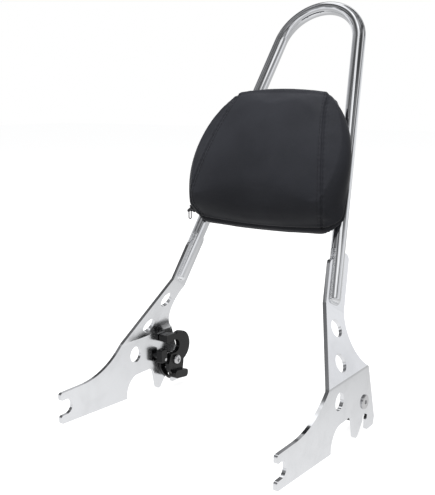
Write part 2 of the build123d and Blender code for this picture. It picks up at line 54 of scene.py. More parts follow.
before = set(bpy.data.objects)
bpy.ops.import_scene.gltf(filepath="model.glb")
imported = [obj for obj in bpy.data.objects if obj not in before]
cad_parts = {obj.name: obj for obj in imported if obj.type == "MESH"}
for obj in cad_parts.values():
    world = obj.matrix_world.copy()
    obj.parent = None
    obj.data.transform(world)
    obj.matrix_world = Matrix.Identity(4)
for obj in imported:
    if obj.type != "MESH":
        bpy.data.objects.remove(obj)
CAD_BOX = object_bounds()
MM = 0.001
SIDES = {"left": 1.0, "right": -1.0}

# The hoop leans back about X, and its legs run in towards each other.
HOOP_LEAN = math.radians(28.3)
UP_HOOP = Vector((0.0, math.sin(HOOP_LEAN), math.cos(HOOP_LEAN)))
OUT_OF_HOOP = Vector((0.0, -math.cos(HOOP_LEAN), math.sin(HOOP_LEAN)))
LEG_FOOT = Vector((102.6, 163.1, 114.7)) * MM
LEG_DIRECTION = Vector((-0.151258, 0.468633, 0.870347)).normalized()
TUBE_RADIUS = 8.0 * MM
TUBE_END_ROUND = 5.0 * MM

# A plate's tongue stands in the slot of the tube's end, and a weld runs up both sides of each face.
TONGUE_NORMAL = Vector((0.967556, -0.110073, 0.227421)).normalized()
TONGUE_FORWARD = -TONGUE_NORMAL.cross(LEG_DIRECTION).normalized()
TONGUE_HALF = 1.9 * MM
WELD_FRONT = 42.0 * MM
WELD_REAR = 62.0 * MM
WELD_TURN_STEPS = 5
RIPPLE_STEPS = 5

# The plates fold inwards at one level, across a short band.
FOLD_HEIGHT = 45.3 * MM
FOLD_SOFT = 2.2 * MM

# Places on the pad are in millimetres: its middle up the hoop, and the depth of its flat back.
PAD_UP_HOOP = 136.0
PAD_MIDDLE = Vector((0.0, LEG_FOOT.y, LEG_FOOT.z)) + UP_HOOP * PAD_UP_HOOP * MM
PAD_BACK_FLAT = 11.5

# The pad's cover: its simulation, and how near it keeps to its form, with ranges in millimetres on the pad
CLOTH_FRAMES = 20
CLOTH_SMOOTHINGS = 12
BACK_SLACK = 0.2 * MM
TIGHT_GAP = 0.1 * MM
LOOSE_GAP = 1.6 * MM
BACK_EDGE = (13.0, 25.0)
FOOT_EDGE = (20.0, 32.0)
FOOT_LEVEL = (-44.0, -30.0)
SEAM_WIDTH = 1.2 * MM
SEAM_PUCKER = 0.13 * MM
GROOVE_WIDTH = 1.7 * MM

# Stitches lie inside the seams, sunk at both ends by millimetres. Zip teeth stand to either side in turn.
STITCH_INSET = 4.4 * MM
STITCH_PITCH = 1.3
STITCH_GAP = 0.12
STITCH_LIFTS = (-0.3, 0.02, 0.1, 0.02, -0.3)
THREAD_RADIUS = 0.28 * MM
TOOTH_STEP = 1.7 * MM
TOOTH_SIZE = (1.0 * MM, 2.4 * MM, 1.0 * MM)
TOOTH_EDGE = 0.25 * MM
TOOTH_RISE = 0.35 * MM
TOOTH_STAGGER = 0.25 * MM

# Rounding of the smaller pieces
STRAP_EDGE = 0.6 * MM
SCREW_EDGE = 0.35 * MM
PIVOT_EDGE = 0.25 * MM
SLIDER_EDGE = 0.2 * MM

# Floor, surroundings, lamps and camera. Tones are given by height, from straight down at 0 to straight up at 1.
FLOOR_SIZE = 8.0
FLOOR_GAP = 0.5 * MM
FLOOR_GREY = (0.32, 0.32, 0.32, 1.0)
FLOOR_GLOW = 0.9
WHITE = (1.0, 1.0, 1.0, 1.0)
DAYLIGHT = (0.96, 0.98, 1.0, 1.0)
DAYLIGHT_STRENGTH = 0.28
STUDIO_TONES = (
    (0.0, 0.6), (0.5, 0.95), (0.57, 0.88), (0.66, 0.44), (0.72, 0.26), (0.88, 0.24), (1.0, 0.5)
)
STUDIO_CAST = (0.98, 0.985, 1.0)
SOFTBOX_GREY = (0.8, 0.8, 0.8, 1.0)
SOFTBOX_SLANT = (0.825, 0.565, 1.5)
SOFTBOX_RIGHT = (0.825, 0.565, 0.0)
LAMPS = (
    ("key", (0.75, -1.2, 1.6), (0.9, 1.2), 9.0),
    ("overhead", (-0.1, 0.1, 2.2), (1.4, 1.0), 64.0),
)
LAMP_TARGET = (0.0, 0.15, 0.2)
SENSOR_WIDTH = 36.0
LENS_SHIFT = (0.0026, 0.001)
CLIP_START = 0.01

# What the helpers count as one point, a flat, a sharp edge and a wide edge
SAME_POINT = 1e-6
FLAT_ANGLE = math.radians(0.5)
SHARP_ANGLE = math.radians(38)
SHADED_ANGLE = math.radians(35)
BEAD_SHADED_ANGLE = math.radians(60)
WIDE_EDGE = 0.7 * MM
RUN_STEP = 0.8 * MM


def pad_point(across, up, out):
    """A point given in millimetres on the pad: across, up the hoop and out from the hoop's plane."""
    return PAD_MIDDLE + Vector((across * MM, 0.0, 0.0)) + UP_HOOP * (up * MM) + OUT_OF_HOOP * (out * MM)


def pad_local(point):
    """The millimetres across, up and out of a point on the pad."""
    away = (point - PAD_MIDDLE) / MM
    return away.x, away.dot(UP_HOOP), away.dot(OUT_OF_HOOP)


# Sizes and colours that a user would change


class BackrestChrome(bpy.types.PropertyGroup):
    """Chromed steel of the hoop, plates and straps."""

    tint: bpy.props.FloatVectorProperty(
        name="Tint", description="Colour of the chrome", subtype="COLOR", size=3, min=0, max=1,
        default=(0.80, 0.81, 0.83),
    )
    edge: bpy.props.FloatProperty(
        name="Edge", description="Rounding of the plates' cut edges", unit="LENGTH", default=0.9 * MM
    )
    bead: bpy.props.FloatProperty(
        name="Bead", description="Radius of the weld beads", unit="LENGTH", default=1.5 * MM
    )
    ripple: bpy.props.FloatProperty(
        name="Ripple", description="Length of a ripple in a weld bead", unit="LENGTH", default=2.6 * MM
    )


class BackrestPad(bpy.types.PropertyGroup):
    """Leather pad with sewn side panels and a zip round its foot."""

    leather: bpy.props.FloatVectorProperty(
        name="Leather", description="Colour of the pad's cover", subtype="COLOR", size=3, min=0, max=1,
        default=(0.0265, 0.0275, 0.0325),
    )
    voxel: bpy.props.FloatProperty(
        name="Voxel", description="Size of the cloth's cells", unit="LENGTH", default=4.0 * MM
    )
    slack: bpy.props.FloatProperty(
        name="Slack", description="How far the cover starts inside its form", unit="LENGTH", default=1.0 * MM
    )
    swell: bpy.props.FloatProperty(
        name="Swell", description="Most that the filling pushes out the cover", unit="LENGTH",
        default=2.0 * MM,
    )
    seam: bpy.props.FloatProperty(
        name="Seam", description="Depth of the sewn seams", unit="LENGTH", default=1.3 * MM
    )
    groove: bpy.props.FloatProperty(
        name="Groove", description="Depth of the zip's groove", unit="LENGTH", default=2.4 * MM
    )
    stitch: bpy.props.FloatProperty(
        name="Stitch", description="Length of a stitch", unit="LENGTH", default=3.4 * MM
    )


class BackrestLatch(bpy.types.PropertyGroup):
    """Black latches and their bright fasteners."""

    paint: bpy.props.FloatVectorProperty(
        name="Paint", description="Colour of the latches", subtype="COLOR", size=3, min=0, max=1,
        default=(0.006, 0.006, 0.0065),
    )
    zinc: bpy.props.FloatVectorProperty(
        name="Zinc", description="Colour of the bright fasteners", subtype="COLOR", size=3, min=0, max=1,
        default=(0.62, 0.62, 0.63),
    )
    edge: bpy.props.FloatProperty(
        name="Edge", description="Rounding of the cast edges", unit="LENGTH", default=0.9 * MM
    )


class BackrestStage(bpy.types.PropertyGroup):
    """Floor, light and camera."""

    azimuth: bpy.props.FloatProperty(
        name="Azimuth", description="Camera's turn to the rider's left", subtype="ANGLE",
        default=math.radians(34.382),
    )
    elevation: bpy.props.FloatProperty(
        name="Elevation", description="Camera's height", subtype="ANGLE", default=math.radians(10.627)
    )
    distance: bpy.props.FloatProperty(
        name="Distance", description="Camera's distance from its target", unit="LENGTH", default=840.3 * MM
    )
    target: bpy.props.FloatVectorProperty(
        name="Target", description="What the camera points at", subtype="XYZ", unit="LENGTH", size=3,
        default=(0.0, 93.87 * MM, 174.74 * MM),
    )
    lens: bpy.props.FloatProperty(name="Lens", description="Focal length in millimetres", default=58.22)


class BackrestSettings(bpy.types.PropertyGroup):
    """All the settings of the backrest."""

    chrome: bpy.props.PointerProperty(type=BackrestChrome)
    pad: bpy.props.PointerProperty(type=BackrestPad)
    latch: bpy.props.PointerProperty(type=BackrestLatch)
    stage: bpy.props.PointerProperty(type=BackrestStage)


def settings():
    """The scene's backrest settings."""
    return bpy.context.scene.backrest


# Shader node groups and materials


def group_of(name, inputs, outputs):
    """A new shader node group with float inputs, and outputs given as name to socket type."""
    tree = bpy.data.node_groups.new(name, "ShaderNodeTree")
    for label, value in inputs.items():
        socket = tree.interface.new_socket(name=label, in_out="INPUT", socket_type="NodeSocketFloat")
        socket.default_value = value
    for label, kind in outputs.items():
        tree.interface.new_socket(name=label, in_out="OUTPUT", socket_type=kind)
    return tree, tree.nodes.new("NodeGroupInput"), tree.nodes.new("NodeGroupOutput")


def give(tree, socket, value):
    """Links a socket to what varies, or sets it to what doesn't."""
    if isinstance(value, bpy.types.NodeSocket):
        tree.links.new(value, socket)
    else:
        socket.default_value = value


def fill_in(tree, node, **values):
    """Gives a node's inputs their values or sources, by name with _ for a space."""
    for label, value in values.items():
        give(tree, node.inputs[label.replace("_", " ")], value)


def object_place(tree):
    """The Object coordinates of a material or group."""
    return tree.nodes.new("ShaderNodeTexCoord").outputs["Object"]


def noise_node(tree, scale, detail=3.0, rough=0.5, vector=None):
    """A noise texture node on Object coordinates, or on another vector."""
    node = tree.nodes.new("ShaderNodeTexNoise")
    fill_in(tree, node, Detail=detail, Roughness=rough, Scale=scale, Vector=vector or object_place(tree))
    return node


def ramp(tree, source, low, high, to_low=0.0, to_high=1.0):
    """A value mapped from one range to another, clamped."""
    node = tree.nodes.new("ShaderNodeMapRange")
    fill_in(tree, node, Value=source, From_Min=low, From_Max=high, To_Min=to_low, To_Max=to_high)
    return node.outputs["Result"]


def math_node(tree, operation, first, second):
    """A math node on two sockets or numbers."""
    node = tree.nodes.new("ShaderNodeMath")
    node.operation = operation
    for socket, value in zip(node.inputs, (first, second)):
        give(tree, socket, value)
    return node.outputs["Value"]


def along(tree, direction, axis):
    """How far a direction runs along an axis."""
    node = tree.nodes.new("ShaderNodeVectorMath")
    node.operation = "DOT_PRODUCT"
    give(tree, node.inputs[0], direction)
    give(tree, node.inputs[1], axis)
    return node.outputs["Value"]


def emission(tree, strength):
    """White light of a strength."""
    node = tree.nodes.new("ShaderNodeEmission")
    fill_in(tree, node, Strength=strength)
    return node.outputs["Emission"]


def background(tree, colour, strength=1.0):
    """Surroundings of a colour and strength."""
    node = tree.nodes.new("ShaderNodeBackground")
    fill_in(tree, node, Color=colour, Strength=strength)
    return node.outputs["Background"]


def add_shaders(tree, first, second):
    """Two shaders together."""
    node = tree.nodes.new("ShaderNodeAddShader")
    give(tree, node.inputs[0], first)
    give(tree, node.inputs[1], second)
    return node.outputs["Shader"]


def mix_shaders(tree, factor, first, second):
    """One shader at a factor of 0, the other at 1."""
    node = tree.nodes.new("ShaderNodeMixShader")
    for socket, source in zip(node.inputs, (factor, first, second)):
        give(tree, socket, source)
    return node.outputs["Shader"]


def handling_marks():
    """Group: a roughness that varies with faint smudges and fine polishing haze."""
    if "Handling marks" in bpy.data.node_groups:
        return bpy.data.node_groups["Handling marks"]
    tree, enter, leave = group_of(
        "Handling marks", {"Clean": 0.05, "Smudged": 0.14, "Scale": 22.0},
        {"Roughness": "NodeSocketFloat", "Haze": "NodeSocketFloat"},
    )
    broad = noise_node(tree, enter.outputs["Scale"], detail=4.0, rough=0.6)
    fine = noise_node(tree, 900.0, detail=2.0)
    smudges = ramp(tree, broad.outputs["Fac"], 0.48, 0.68)
    haze = math_node(tree, "MULTIPLY", smudges, ramp(tree, fine.outputs["Fac"], 0.35, 0.65, 0.6, 1.0))
    rough = ramp(tree, haze, 0.0, 1.0, enter.outputs["Clean"], enter.outputs["Smudged"])
    fill_in(tree, leave, Roughness=rough, Haze=haze)
    return tree


def pressed_waves():
    """Group: the height of a sheet's slow waves and its fine surface."""
    if "Pressed waves" in bpy.data.node_groups:
        return bpy.data.node_groups["Pressed waves"]
    tree, enter, leave = group_of(
        "Pressed waves", {"Wave scale": 14.0, "Wave": 1.0, "Fine scale": 400.0, "Fine": 0.02},
        {"Height": "NodeSocketFloat"},
    )
    slow = noise_node(tree, enter.outputs["Wave scale"], detail=1.0)
    fine = noise_node(tree, enter.outputs["Fine scale"], detail=2.0)
    waves = math_node(tree, "MULTIPLY", slow.outputs["Fac"], enter.outputs["Wave"])
    surface = math_node(tree, "MULTIPLY", fine.outputs["Fac"], enter.outputs["Fine"])
    fill_in(tree, leave, Height=math_node(tree, "ADD", waves, surface))
    return tree


def material(name):
    """A new node material with its Principled shader."""
    made = bpy.data.materials.new(name)
    made.use_nodes = True
    return made, made.node_tree, made.node_tree.nodes["Principled BSDF"]


def place_group(tree, group, **values):
    """The group's node in a material, with its own values."""
    node = tree.nodes.new("ShaderNodeGroup")
    node.node_tree = group
    fill_in(tree, node, **values)
    return node


def bump_from(tree, height, strength, distance):
    """A bump node's normal from a height."""
    node = tree.nodes.new("ShaderNodeBump")
    fill_in(tree, node, Strength=strength, Distance=distance, Height=height)
    return node.outputs["Normal"]


def two_tones(tree, factor, low, high):
    """A colour between two, by a factor."""
    node = tree.nodes.new("ShaderNodeMix")
    node.data_type = "RGBA"
    node.inputs["A"].default_value = (*low, 1.0)
    node.inputs["B"].default_value = (*high, 1.0)
    tree.links.new(factor, node.inputs["Factor"])
    return node.outputs["Result"]


def shade(colour, factor):
    """A colour made darker or lighter."""
    return tuple(min(1.0, channel * factor) for channel in colour)


def chrome_material(name, wave, clean, smudged):
    """Chrome plate with smudges and the slow waves of its sheet."""
    made, tree, shader = material(name)
    tint = tuple(settings().chrome.tint)
    marks = place_group(tree, handling_marks(), Clean=clean, Smudged=smudged, Scale=26.0)
    waves = place_group(tree, pressed_waves(), Wave_scale=16.0, Wave=wave, Fine_scale=700.0, Fine=0.01)
    fill_in(
        tree, shader, Metallic=1.0, Base_Color=two_tones(tree, marks.outputs["Haze"], tint, shade(tint, 0.93)),
        Roughness=marks.outputs["Roughness"], Normal=bump_from(tree, waves.outputs["Height"], 0.6, 0.4 * MM),
    )
    return made


def zinc_material():
    """Bright plated steel of the fasteners and springs."""
    made, tree, shader = material("bright_zinc")
    zinc = tuple(settings().latch.zinc)
    marks = place_group(tree, handling_marks(), Clean=0.18, Smudged=0.36, Scale=120.0)
    fill_in(
        tree, shader, Metallic=1.0, Base_Color=two_tones(tree, marks.outputs["Haze"], zinc, shade(zinc, 0.8)),
        Roughness=marks.outputs["Roughness"],
    )
    return made


def zip_metal_material():
    """Dark nickel of the zip's slider and wire puller."""
    made, tree, shader = material("dark_nickel")
    marks = place_group(tree, handling_marks(), Clean=0.22, Smudged=0.4, Scale=300.0)
    fill_in(
        tree, shader, Metallic=1.0, Specular_Tint=(0.25, 0.25, 0.25, 1.0), Roughness=marks.outputs["Roughness"],
        Base_Color=two_tones(tree, marks.outputs["Haze"], (0.09, 0.09, 0.095), (0.05, 0.05, 0.052)),
    )
    return made


def paint_material():
    """Black enamel on the cast latch pieces, worn a little greyer where it is handled."""
    made, tree, shader = material("black_enamel")
    paint = tuple(settings().latch.paint)
    marks = place_group(tree, handling_marks(), Clean=0.18, Smudged=0.38, Scale=90.0)
    waves = place_group(tree, pressed_waves(), Wave_scale=120.0, Wave=0.4, Fine_scale=1400.0, Fine=0.5)
    fill_in(
        tree, shader, Base_Color=two_tones(tree, marks.outputs["Haze"], paint, shade(paint, 2.2)),
        Roughness=marks.outputs["Roughness"], Specular_IOR_Level=0.3,
        Normal=bump_from(tree, waves.outputs["Height"], 0.35, 0.15 * MM),
    )
    return made


def leather_material():
    """Black leathercloth: a fine pebbled grain, with broad patches that are rubbed smoother."""
    made, tree, shader = material("black_leathercloth")
    leather = tuple(settings().pad.leather)
    place = object_place(tree)
    soft = noise_node(tree, 260.0, vector=place)
    warped = tree.nodes.new("ShaderNodeMix")
    warped.data_type = "VECTOR"
    fill_in(tree, warped, Factor=0.0006, A=place, B=soft.outputs["Color"])
    grain = tree.nodes.new("ShaderNodeTexVoronoi")
    grain.feature = "DISTANCE_TO_EDGE"
    fill_in(tree, grain, Scale=900.0, Randomness=0.9, Vector=warped.outputs["Result"])
    broad = noise_node(tree, 18.0, vector=place)
    pebble = ramp(tree, grain.outputs["Distance"], 0.0, 0.22)
    rubbed = ramp(tree, broad.outputs["Fac"], 0.35, 0.7)
    tone = math_node(
        tree, "ADD", math_node(tree, "MULTIPLY", pebble, 0.35), math_node(tree, "MULTIPLY", rubbed, 0.65)
    )
    height = math_node(tree, "ADD", pebble, math_node(tree, "MULTIPLY", soft.outputs["Fac"], 0.8))
    fill_in(
        tree, shader, Base_Color=two_tones(tree, tone, shade(leather, 0.8), shade(leather, 1.2)),
        Roughness=ramp(tree, rubbed, 0.0, 1.0, 0.54, 0.46), Normal=bump_from(tree, height, 0.16, 0.12 * MM),
        Specular_IOR_Level=0.14,
    )
    return made


def thread_material():
    """Black bonded thread."""
    made, tree, shader = material("black_thread")
    twist = tree.nodes.new("ShaderNodeTexWave")
    fill_in(tree, twist, Scale=900.0, Distortion=1.5, Vector=object_place(tree))
    fill_in(
        tree, shader, Roughness=ramp(tree, twist.outputs["Fac"], 0.0, 1.0, 0.65, 0.8), Specular_IOR_Level=0.2,
        Base_Color=two_tones(tree, twist.outputs["Fac"], (0.012, 0.012, 0.014), (0.024, 0.024, 0.027)),
    )
    return made


def zip_material():
    """Black moulded zip teeth and tape."""
    made, tree, shader = material("zip_nylon")
    speck = noise_node(tree, 1500.0, detail=2.0)
    fill_in(
        tree, shader, Roughness=ramp(tree, speck.outputs["Fac"], 0.3, 0.7, 0.4, 0.6),
        Base_Color=two_tones(tree, speck.outputs["Fac"], (0.006, 0.006, 0.007), (0.022, 0.022, 0.024)),
    )
    return made


def board_material():
    """Plywood backing board, inside the cover."""
    made, tree, shader = material("pad_board_ply")
    rings = tree.nodes.new("ShaderNodeTexWave")
    fill_in(tree, rings, Scale=60.0, Distortion=6.0, Vector=object_place(tree))
    fill_in(
        tree, shader, Roughness=0.7,
        Base_Color=two_tones(tree, rings.outputs["Fac"], (0.36, 0.23, 0.12), (0.58, 0.42, 0.26)),
    )
    return made


MAKERS = {
    "chrome_tube": lambda: chrome_material("chrome_tube", wave=0.12, clean=0.05, smudged=0.12),
    "chrome_polished": lambda: chrome_material("chrome_polished", wave=0.5, clean=0.08, smudged=0.16),
    "chrome_satin": lambda: chrome_material("chrome_satin", wave=0.5, clean=0.18, smudged=0.26),
    "bright_zinc": zinc_material,
    "dark_nickel": zip_metal_material,
    "black_enamel": paint_material,
    "black_leathercloth": leather_material,
    "black_thread": thread_material,
    "zip_nylon": zip_material,
    "pad_board_ply": board_material,
}


def finish_of(name):
    """A finish by name, made when it is first asked for."""
    return bpy.data.materials.get(name) or MAKERS[name]()


# Modelling helpers


def cad_copy(node):
    """A CAD node's mesh as a new bmesh, with its triangles joined."""
    bm = bmesh.new()
    bm.from_mesh(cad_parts[node].data)
    bmesh.ops.remove_doubles(bm, verts=bm.verts, dist=SAME_POINT)
    return bm


def add_object(name, data):
    """A new object in the scene, at the origin."""
    obj = bpy.data.objects.new(name, data)
    bpy.context.scene.collection.objects.link(obj)
    return obj


def piece(name, bm, finish, body, replaced=(), smooth=SHADED_ANGLE):
    """A finished piece from a bmesh: shaded, riding on its body and standing for its CAD nodes."""
    mesh = bpy.data.meshes.new(name)
    bm.to_mesh(mesh)
    bm.free()
    mesh.shade_smooth()
    if smooth:
        mesh.set_sharp_from_angle(angle=smooth)
    obj = add_object(name, mesh)
    mesh.materials.append(finish_of(finish))
    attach(obj, body)
    if replaced:
        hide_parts(*replaced)
    return obj


def dress_node(node, finish):
    """A better finish on a CAD node that keeps its shape."""
    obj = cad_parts[node]
    obj.data.materials.clear()
    obj.data.materials.append(finish_of(finish))


def eased(node, width, segments, levels):
    """A CAD node's copy with its flats joined, cut at levels, and its sharp edges rounded."""
    bm = cad_copy(node)
    bmesh.ops.dissolve_limit(
        bm, angle_limit=FLAT_ANGLE, use_dissolve_boundaries=False, verts=bm.verts, edges=bm.edges
    )
    for height in levels:
        cut_level(bm, height)
    sharp = [e for e in bm.edges if e.is_manifold and e.calc_face_angle() > SHARP_ANGLE]
    bmesh.ops.bevel(
        bm, geom=sharp, offset=width, offset_type="OFFSET", segments=segments, profile=0.5, affect="EDGES",
        clamp_overlap=True, material=-1,
    )
    bmesh.ops.recalc_face_normals(bm, faces=bm.faces)
    return bm


def cut_level(bm, height):
    """New edges where a level plane crosses a bmesh."""
    bmesh.ops.bisect_plane(
        bm, geom=bm.verts[:] + bm.edges[:] + bm.faces[:], dist=SAME_POINT,
        plane_co=(0.0, 0.0, height), plane_no=(0.0, 0.0, 1.0),
    )


def weigh_normals(obj):
    """Keeps an eased piece's flats flat under smooth shading."""
    modifier = obj.modifiers.new("Flats", "WEIGHTED_NORMAL")
    modifier.keep_sharp = True
    modifier.weight = 80


def eased_piece(node, ending, width, finish, body, levels=()):
    """A piece that stands for a CAD node, with its sharp edges rounded."""
    segments = 3 if width > WIDE_EDGE else 2
    obj = piece(f"{node}_{ending}", eased(node, width, segments, levels), finish, body, [node])
    weigh_normals(obj)
    return obj


def edges_at(verts):
    """The edges that meet at any of the vertices."""
    return list(dict.fromkeys(e for v in verts for e in v.link_edges))


def rope(bm, points, radii, sides):
    """A round bar through points, with a radius at each and capped ends."""
    rings = []
    side = None
    for i, point in enumerate(points):
        run = (points[min(i + 1, len(points) - 1)] - points[max(i - 1, 0)]).normalized()
        side = run.orthogonal() if side is None else side - run * side.dot(run)
        side.normalize()
        turn = Matrix((side, run.cross(side), run)).transposed().to_4x4()
        turn.translation = point
        ring = bmesh.ops.create_circle(bm, cap_ends=False, segments=sides, radius=radii[i], matrix=turn)
        rings.append(edges_at(ring["verts"]))
    for first, second in zip(rings, rings[1:]):
        bmesh.ops.bridge_loops(bm, edges=first + second)
    for ends in (rings[0], rings[-1]):
        bmesh.ops.edgeloop_fill(bm, edges=ends)


def run_along(points, step):
    """Points at even steps along a run of points."""
    spaced, carry = [points[0].copy()], 0.0
    for first, second in zip(points, points[1:]):
        length = (second - first).length
        at = step - carry
        while at <= length:
            spaced.append(first.lerp(second, at / length))
            at += step
        carry = length - (at - step)
    return spaced


def seam_line(side):
    """The pad's seam on one side, from the back over the top and front to the zip under the foot."""
    marks = [
        (49, 94, 9.5), (52, 97, 14), (55.5, 98.5, 24), (58, 95, 38), (60, 86, 50), (64, 66, 57), (69, 44, 60),
        (74, 20, 59.5), (79, -5, 57), (82.5, -24, 53), (84.5, -38, 49), (84.5, -47, 43), (83, -55, 35),
        (80, -60, 26), (78.5, -61, 21),
    ]
    return smooth_run([pad_point(side * across, up, out) for across, up, out in marks])


def zip_line():
    """The zip's run round the pad's foot, from one side to the other."""
    out = 19
    half = [(95.5, -16), (98, -34), (97, -47), (91, -54.5), (80, -57.5), (45, -59.5), (15, -60)]
    marks = half + [(-across, up) for across, up in reversed(half)]
    return smooth_run([pad_point(across, up, out) for across, up in marks])


def smooth_run(points):
    """Even points on a smooth curve that passes near the given ones."""
    curve = bpy.data.curves.new("run", "CURVE")
    curve.dimensions = "3D"
    spline = curve.splines.new("NURBS")
    spline.points.add(len(points) - 1)
    for spot, point in zip(spline.points, points):
        spot.co = (*point, 1.0)
    spline.order_u = 3
    spline.use_endpoint_u = True
    spline.resolution_u = 12
    holder = bpy.data.objects.new("run", curve)
    mesh = bpy.data.meshes.new_from_object(holder)
    run = run_along([v.co.copy() for v in mesh.vertices], RUN_STEP)
    bpy.data.objects.remove(holder)
    bpy.data.curves.remove(curve)
    bpy.data.meshes.remove(mesh)
    return run


def skin_of(mesh):
    """A mesh's surface, to find the nearest place on."""
    return BVHTree.FromPolygons([v.co for v in mesh.vertices], [p.vertices for p in mesh.polygons])


def on_skin(skin, points):
    """Points moved to the nearest place on a surface."""
    return [skin.find_nearest(point)[0] for point in points]


def even_out(bm, times=1):
    """Smooths all of a bmesh, one or more times."""
    for _ in range(times):
        bmesh.ops.smooth_vert(
            bm, verts=bm.verts, factor=0.5, use_axis_x=True, use_axis_y=True, use_axis_z=True
        )


def bell(away, middle, width):
    """1 at the middle, falling off to 0 over a few widths."""
    return math.exp(-(((away - middle) / width) ** 2))


def ease_in(value, low, high):
    """A smooth step from 0 at low to 1 at high."""
    part = max(0.0, min(1.0, (value - low) / (high - low)))
    return part * part * (3.0 - 2.0 * part)


def aim(obj, place, toward):
    """Puts a lamp or camera at a place, looking along a direction."""
    obj.location = place
    obj.rotation_mode = "QUATERNION"
    obj.rotation_quaternion = toward.to_track_quat("-Z", "Y")


# Operators, one for each piece or group of like pieces


class BACKREST_OT_plates(bpy.types.Operator):
    """Side plates: folded sheet with its cut edges eased and plated"""

    bl_idname = "backrest.plates"
    bl_label = "Side Plates"

    def execute(self, context):
        for label, side in SIDES.items():
            obj = eased_piece(
                f"{label}_side_plate", "plated", settings().chrome.edge, "chrome_polished", "frame",
                (FOLD_HEIGHT - FOLD_SOFT, FOLD_HEIGHT + FOLD_SOFT),
            )
            obj.data.materials.append(finish_of("chrome_satin"))
            for face in obj.data.polygons:
                faces_in = face.normal.x * side < -0.3
                face.material_index = 1 if faces_in else 0
        return {"FINISHED"}


class BACKREST_OT_hoop(bpy.types.Operator):
    """Hoop: chromed tube, with rippled weld beads where its ends straddle the plates"""

    bl_idname = "backrest.hoop"
    bl_label = "Hoop and Welds"

    def weld_line(self, side, face):
        """The U of a weld on one face of a tongue: down the front, round the tube's end, up the rear."""
        flip = Vector((side, 1.0, 1.0))
        half = TONGUE_HALF * face
        reach = math.sqrt(TUBE_RADIUS ** 2 - half ** 2)
        marks = [(reach, WELD_FRONT), (reach, TUBE_END_ROUND)]
        for i in range(1, WELD_TURN_STEPS + 1):
            turn = math.radians(90 / WELD_TURN_STEPS * i)
            marks.append((
                reach - TUBE_END_ROUND * (1 - math.cos(turn)), TUBE_END_ROUND * (1 - math.sin(turn))
            ))
        marks += [(-forward, up) for forward, up in reversed(marks[1:])]
        marks.append((-reach, WELD_REAR))
        return [
            (LEG_FOOT + LEG_DIRECTION * up + TONGUE_FORWARD * forward + TONGUE_NORMAL * half) * flip
            for forward, up in marks
        ]

    def thickness(self, points, i):
        """A weld's share of its full radius at a point: rippled, uneven, heavy in front, thin at its ends."""
        ripple = abs(math.sin(math.pi * i / RIPPLE_STEPS))
        uneven = noise(points[i] * 300.0)
        ends = min(1.0, (min(i, len(points) - 1 - i) + 1) / 6)
        heavy = 1.0 + 0.45 * ease_in(len(points) / 3 - i, 0.0, 12.0)
        return heavy * ends * (0.8 + 0.2 * ripple + 0.2 * uneven)

    def execute(self, context):
        piece("hoop_plated", cad_copy("hoop_tube"), "chrome_tube", "frame", ["hoop_tube"])
        chrome = settings().chrome
        for label, side in SIDES.items():
            bm = bmesh.new()
            for face in (1.0, -1.0):
                points = run_along(self.weld_line(side, face), chrome.ripple / RIPPLE_STEPS)
                radii = [chrome.bead * self.thickness(points, i) for i in range(len(points))]
                rope(bm, points, radii, sides=9)
            piece(
                f"{label}_weld_beads", bm, "chrome_polished", "frame", smooth=BEAD_SHADED_ANGLE
            )
        return {"FINISHED"}


